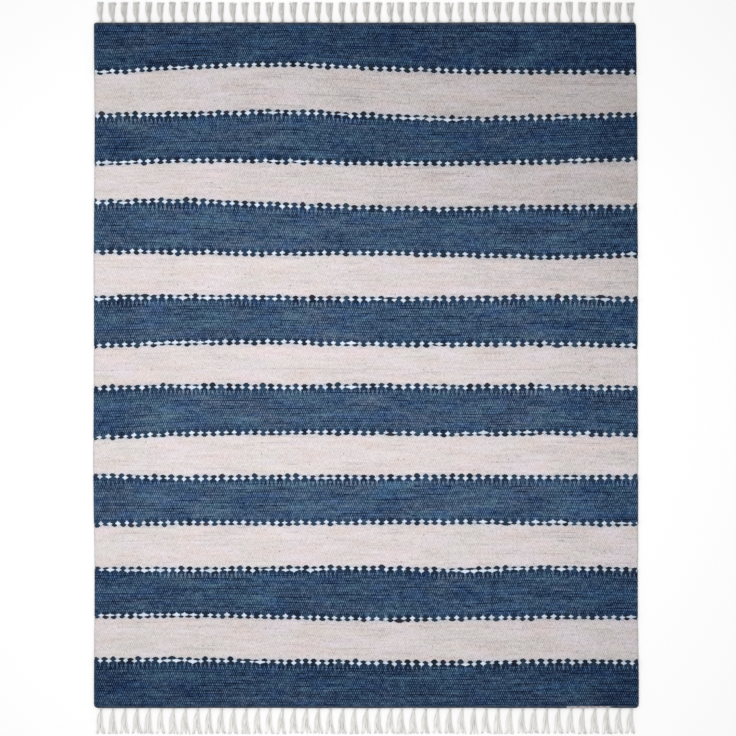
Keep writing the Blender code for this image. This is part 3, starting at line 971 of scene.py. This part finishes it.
# A mix node's sockets for colours
MIX_INPUTS, MIX_RESULT = (0, 6, 7), 2


def blend_colours(tree, share, first, second, how="MIX"):
    made = tree.nodes.new("ShaderNodeMix")
    made.data_type = "RGBA"
    made.blend_type = how
    for index, value in zip(MIX_INPUTS, (share, first, second)):
        feed(tree, value, made.inputs[index])
    return made.outputs[MIX_RESULT]


def add_cast(tree, colour, cast, value, span):
    """The colour with a cast over it, as far as value lies along a span."""
    share = ramp_between(tree, value, *span)
    return blend_colours(tree, share, colour, cast, "MULTIPLY")


def noise_in_space(tree, place, scale, detail, **settings):
    inputs = {"Vector": place, "Scale": scale, "Detail": detail}
    return add_node(tree, "ShaderNodeTexNoise", inputs, **settings).outputs["Fac"]


def noise_at(tree, x, y, scale=1.0, detail=2.0):
    place = add_node(tree, "ShaderNodeCombineXYZ", {"X": x, "Y": y}).outputs[0]
    return noise_in_space(tree, place, scale, detail, noise_dimensions="2D")


def make_weave_group():
    """Where each point lies in the weave: on a pick's rise, in the groove between two, and how its rag varies."""
    group = bpy.data.node_groups.new("rag_weave", "ShaderNodeTree")
    group.interface.new_socket("Place", in_out="INPUT", socket_type="NodeSocketVector")
    for mask in MASKS:
        group.interface.new_socket(mask, in_out="OUTPUT", socket_type="NodeSocketFloat")
    entry = group.nodes.new("NodeGroupInput")
    leave = group.nodes.new("NodeGroupOutput")
    warp, pick, _ = split_vector(group, entry.outputs["Place"])
    across, down = wave(group, warp, math.pi), wave(group, pick, math.pi)
    tick = calc(group, "MULTIPLY_ADD", calc(group, "MULTIPLY", across, down), 0.5, 0.5)
    groove = calc(group, "SUBTRACT", 1.0, calc(group, "ABSOLUTE", down))
    whole = calc(group, "ROUND", pick)
    between = calc(group, "FLOOR", pick)

    def varied(name, row=pick, detail=2.0):
        """Noise about so many warps long and picks deep, from its own start."""
        warps, picks, start = RAG_NOISE[name]
        x = calc(group, "MULTIPLY_ADD", warp, 1.0 / warps, start)
        return noise_at(group, x, calc(group, "MULTIPLY", row, 1.0 / picks), detail=detail)

    short = ramp_between(group, varied("short", between), *SHORT_STREAKS)
    long = ramp_between(group, varied("long", between), *LONG_STREAKS)
    # The streaks lie only in the grooves between picks: partly darker rag, partly painted shade there
    streak = calc(group, "MAXIMUM", short, long)
    streak = calc(group, "MULTIPLY", streak, ramp_between(group, groove, *STREAK_GROOVE))
    fleck = varied("fleck")
    values = {
        "Tick": tick,
        "Groove": groove,
        "Strip": varied("strip", whole),
        "Streak": streak,
        "Fleck": fleck,
        "Speck": ramp_between(group, varied("speck", detail=0.0), *SPECKS),
        "Height": add_up(group, 0.0, (tick, TICK_HEIGHT), (fleck, FLECK_HEIGHT)),
    }
    for mask in MASKS:
        value = values[mask] if mask in values else varied(mask.lower())
        group.links.new(value, leave.inputs[mask])
    return group


def start_material(name, roughness):
    material = bpy.data.materials.new(name)
    material.use_nodes = True
    tree = material.node_tree
    shader = tree.nodes["Principled BSDF"]
    set_inputs(tree, shader, {"Roughness": roughness, **CLOTH_FINISH})
    return material, tree, shader


def start_rag(name, weave):
    material, tree, shader = start_material(name, ROUGHNESS["rag"])
    place = read_attribute(tree, "weave_place")
    mask = add_node(tree, "ShaderNodeGroup", node_tree=weave)
    tree.links.new(place, mask.inputs["Place"])
    return material, tree, shader, place, mask.outputs


def dress(tree, shader, colour, height, distance):
    """Gives the shader its colour, and a bump this many metres high."""
    tree.links.new(colour, shader.inputs["Base Color"])
    bump = add_node(tree, "ShaderNodeBump", {"Height": height, "Distance": distance})
    tree.links.new(bump.outputs["Normal"], shader.inputs["Normal"])


def colour_ramp(tree, value, stops):
    made = add_node(tree, "ShaderNodeValToRGB", {"Fac": value})
    elements = made.color_ramp.elements
    while len(elements) < len(stops):
        elements.new(0.5)
    for element, (place, *colour) in zip(elements, stops):
        element.position = place
        element.color = (*colour, 1.0)
    return made.outputs["Color"]


def shaded(tree, colour, shade):
    """The colour under the shade that each point carries: each stripe's own, with the painted light and shade."""
    grey = add_node(tree, "ShaderNodeCombineXYZ", dict.fromkeys("XYZ", shade))
    return blend_colours(tree, 1.0, colour, grey.outputs[0], "MULTIPLY")


def weigh(tree, middle, mask, weights):
    """middle, and for each weight that much of its mask's distance from the mask's own middle."""
    value = add_up(tree, middle, *((mask[name], amount) for name, amount in weights.items()))
    return calc(tree, "SUBTRACT", value, sum(weights.values()) / 2)


def make_blue_rag(weave):
    material, tree, shader, place, mask = start_rag("blue_rag_weave", weave)
    # The tick's rises painted lighter and its dips darker: partly wear, partly painted light and shade
    value = weigh(tree, BLUE_MIDDLE, mask, BLUE_WEIGHTS)
    # Painted shade in the grooves between the picks, darker still in the streaks: partly darker rag, partly painted
    # shade
    value = add_up(tree, value, (mask["Groove"], BLUE_GROOVE), (mask["Streak"], BLUE_STREAK))
    below, above, warp = read_split(tree, "seam_reach")
    for count, side, amount, span in BLUE_RIBS:
        ribs = wave(tree, warp, math.tau * count / WARPS_PER_TOOTH)
        near = ramp_between(tree, below if side == "below" else above, *span)
        # The legs: painted shadow where the floats dive under the warps
        if count == LEGS_PER_TOOTH:
            near = calc(tree, "MULTIPLY", near, ramp_between(tree, mask["Cast"], *LEGS_SHOW))
        value = add_up(tree, value, (calc(tree, "MULTIPLY", ribs, near), amount))
    edge = calc(tree, "MINIMUM", below, above)
    value = calc(tree, "SUBTRACT", value, ramp_between(tree, edge, *SEAM_DARK))
    whole, _, shade = split_vector(tree, place)
    inward = calc(tree, "MINIMUM", whole, calc(tree, "SUBTRACT", WARPS, whole))
    value = calc(tree, "SUBTRACT", value, ramp_between(tree, inward, *SIDE_DARK))
    # The shade each point carries: its stripe's own, times the painted light falloff
    value = add_up(tree, value, (shade, SHADE_SHIFT))
    value = calc(tree, "SUBTRACT", value, SHADE_SHIFT)
    value = calc(tree, "MULTIPLY_ADD", value, RAMP_SCALE, RAMP_START)
    colour = colour_ramp(tree, value, BLUE_RAMP)
    for name, cast in BLUE_CASTS.items():
        colour = add_cast(tree, colour, cast, mask[name], BLUE_CAST_SPAN)
    dress(tree, shader, colour, mask["Height"], BUMP["blue"])
    return material


def make_cream_rag(weave):
    material, tree, shader, place, mask = start_rag("cream_rag_weave", weave)
    shade = split_vector(tree, place)[2]
    # The tick's rises painted lighter and its dips darker: partly wear, partly painted light and shade
    value = weigh(tree, CREAM_MIDDLE, mask, CREAM_WEIGHTS)
    # The streaks darken some grooves: partly darker rag, partly painted shade
    value = add_up(tree, value, (mask["Streak"], CREAM_STREAK))
    amount = ramp_between(tree, shade, *CREAM_TEXTURE)
    apart = calc(tree, "SUBTRACT", value, CREAM_MIDDLE)
    value = calc(tree, "MULTIPLY_ADD", apart, amount, CREAM_MIDDLE)
    colour = colour_ramp(tree, value, CREAM_RAMP)
    for name, cast in CREAM_CASTS.items():
        colour = add_cast(tree, colour, cast, mask[name], CREAM_CAST_SPAN)
    below, above, _ = read_split(tree, "seam_reach")
    nearest = calc(tree, "MINIMUM", below, above)
    for distance, cast in ((nearest, COOL_CAST), (below, DUSK_CAST)):
        colour = add_cast(tree, colour, cast, distance, SEAM_CAST_SPAN)
    colour = blend_colours(tree, mask["Speck"], colour, SPECK_CAST, "MULTIPLY")
    dress(tree, shader, shaded(tree, colour, shade), mask["Height"], BUMP["cream"])
    return material


def make_tooth_rag(name, body, head):
    """The long floats: the same rags packed tight, each tooth of its own dye lot, its head darker or lighter."""
    material, tree, shader = start_material(name, ROUGHNESS["tooth"])
    warp, pick, shade = read_split(tree, "weave_place")
    along = read_split(tree, "seam_reach")[0]
    lot = noise_at(tree, *(calc(tree, "MULTIPLY", *pair) for pair in zip((warp, pick), LOT_RATES)))
    coordinates = add_node(tree, "ShaderNodeTexCoord").outputs["Object"]
    grain = noise_in_space(tree, coordinates, *TOOTH_GRAIN)
    value = add_up(tree, 0.0, (lot, TOOTH_BY_LOT), (grain, TOOTH_BY_GRAIN))
    tip = ramp_between(tree, along, *TOOTH_HEAD_SPAN)
    body_colour, head_colour = (colour_ramp(tree, value, stops) for stops in (body, head))
    colour = blend_colours(tree, tip, body_colour, head_colour)
    dress(tree, shader, shaded(tree, colour, shade), grain, BUMP["tooth"])
    return material


def make_heading_rag():
    """The last picks: darker rags, dyed unevenly from navy to plum, with a pale fleck over every other warp."""
    material, tree, shader = start_material("dark_heading", ROUGHNESS["rag"])
    coordinates = add_node(tree, "ShaderNodeTexCoord").outputs["Object"]
    grain = noise_in_space(tree, coordinates, *HEADING_GRAIN)
    lot = noise_in_space(tree, coordinates, *HEADING_LOTS)
    warp = read_split(tree, "weave_place")[0]
    fleck = wave(tree, warp, math.pi)
    value = add_up(tree, 0.0, *zip((grain, fleck, lot), HEADING_SHARES))
    colour = colour_ramp(tree, value, HEADING_RAMP)
    colour = add_cast(tree, colour, PLUM_CAST, lot, HEADING_PLUM_SPAN)
    x, y, _ = split_vector(tree, coordinates)
    loops = ramp_between(tree, grain, *PALE_LOOPS_GRAIN)
    for distance in (
        calc(tree, "SUBTRACT", x, PALE_LOOPS_FROM),
        calc(tree, "SUBTRACT", PALE_LOOPS_TO, x),
        calc(tree, "SUBTRACT", FOOT_EDGE + PALE_LOOPS_DEPTH, y),
    ):
        loops = calc(tree, "MULTIPLY", loops, ramp_between(tree, distance, *PALE_LOOPS_RIM))
    colour = blend_colours(tree, loops, colour, PALE_LOOP)
    dress(tree, shader, colour, grain, BUMP["heading"])
    return material


def make_cotton():
    """Undyed cotton yarn: slack two-ply twist, with painted shade that greys it deep in the tassel and at the knot.
    """
    material, tree, shader = start_material("cotton_yarn", ROUGHNESS["cotton"])
    turned = add_node(tree, "ShaderNodeUVMap", uv_map="yarn_map").outputs["UV"]
    turn, length, _ = split_vector(tree, turned)
    wound = calc(tree, "ADD", calc(tree, "MULTIPLY", turn, PLIES), length)
    ply = wave(tree, wound, math.tau, "SINE")
    strand, _, shade = read_split(tree, "weave_place")
    yarn = noise_at(tree, calc(tree, "MULTIPLY", strand, YARNS_APART), length, YARN_NOISE)
    value = calc(tree, "MULTIPLY_ADD", ply, PLY_SHARE, yarn)
    colour = colour_ramp(tree, value, COTTON_RAMP)
    dress(tree, shader, shaded(tree, colour, shade), ply, BUMP["cotton"])
    return material


def build_stage():
    """A plain pale floor, a soft box above the rug's left half and an even sky."""
    floor = bmesh.new()
    bmesh.ops.create_grid(floor, x_segments=1, y_segments=1, size=FLOOR_HALF)
    bmesh.ops.translate(floor, verts=floor.verts[:], vec=(0, 0, -FLOOR_DROP))
    mesh = bpy.data.meshes.new("floor")
    floor.to_mesh(mesh)
    floor.free()
    material = bpy.data.materials.new("pale_floor")
    material.use_nodes = True
    tree = material.node_tree
    set_inputs(tree, tree.nodes["Principled BSDF"], FLOOR_FINISH)
    mesh.materials.append(material)
    thing = put_in_scene("floor", mesh)

    world = bpy.data.worlds.new("soft_sky")
    world.use_nodes = True
    tree = world.node_tree
    set_inputs(tree, tree.nodes["Background"], SKY)
    bpy.context.scene.world = world

    lamp = bpy.data.lights.new("key_light", "AREA")
    lamp.shape = "SQUARE"
    lamp.size = KEY_SIZE
    lamp.energy = KEY_POWER
    light = put_in_scene("key_light", lamp)
    light.location = KEY_PLACE
    light.visible_camera = False


def build_camera():
    """Straight down, at the photograph's scale and place."""
    camera = bpy.data.cameras.new("camera")
    camera.lens = LENS
    camera.sensor_width = SENSOR
    middle = PHOTO_SIDE / 2
    across = (middle - RUG_MIDDLE_PIXEL[0]) * METRES_PER_PIXEL
    up = (RUG_MIDDLE_PIXEL[1] - middle) * METRES_PER_PIXEL
    height = PHOTO_SIDE * METRES_PER_PIXEL * LENS / SENSOR
    thing = put_in_scene("camera", camera)
    thing.location = (across, up, height + CLOTH_MIDDLE)
    bpy.context.scene.camera = thing


def main():
    weave = make_weave_group()
    blue, cream = make_blue_rag(weave), make_cream_rag(weave)
    faces = [build_stripe(index, (blue, cream)[index % 2]) for index in range(len(STRIPES))]
    teeth = [
        build_teeth("blue", make_tooth_rag("blue_float", BLUE_TOOTH_RAMP, TOOTH_HEAD_RAMP)),
        build_teeth("cream", make_tooth_rag("cream_float", CREAM_NECK_RAMP, CREAM_TOOTH_RAMP)),
    ]
    heading, cotton = make_heading_rag(), make_cotton()
    ends = []
    for end in ("head", "foot"):
        ends += [build_heading(end, heading), build_tassels(end, cotton)]
    cloth = build_underside([blue, cream])
    build_stage()
    build_camera()
    bpy.context.scene.view_settings.view_transform = "Standard"


main()
